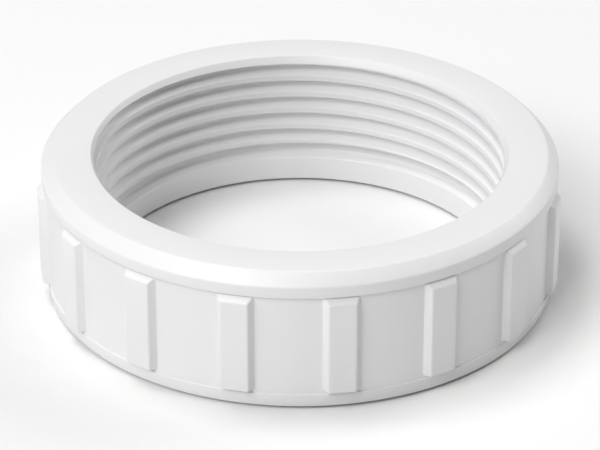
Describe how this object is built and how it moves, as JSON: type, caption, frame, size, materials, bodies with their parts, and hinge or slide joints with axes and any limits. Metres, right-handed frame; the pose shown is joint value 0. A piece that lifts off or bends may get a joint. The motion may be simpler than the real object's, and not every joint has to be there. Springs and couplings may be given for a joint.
{
  "type": "union nut",
  "caption": "White plastic union nut: a threaded coupling ring with raised grip lugs round its wall, a chamfered rim, a rounded internal thread and a plain lip at the foot.",
  "frame": {"origin": "on the nut's axis, in the plane of the standing ring that it rests on", "axes": "+Z along the nut's axis towards the threaded mouth; -Y is the side that faces the viewer"},
  "size_m": [0.0874, 0.0874, 0.0246],
  "materials": {
    "white_plastic": "satin, as moulded"
  },
  "bodies": {
    "root": {"union_nut": "white_plastic"}
  },
  "joints": []
}
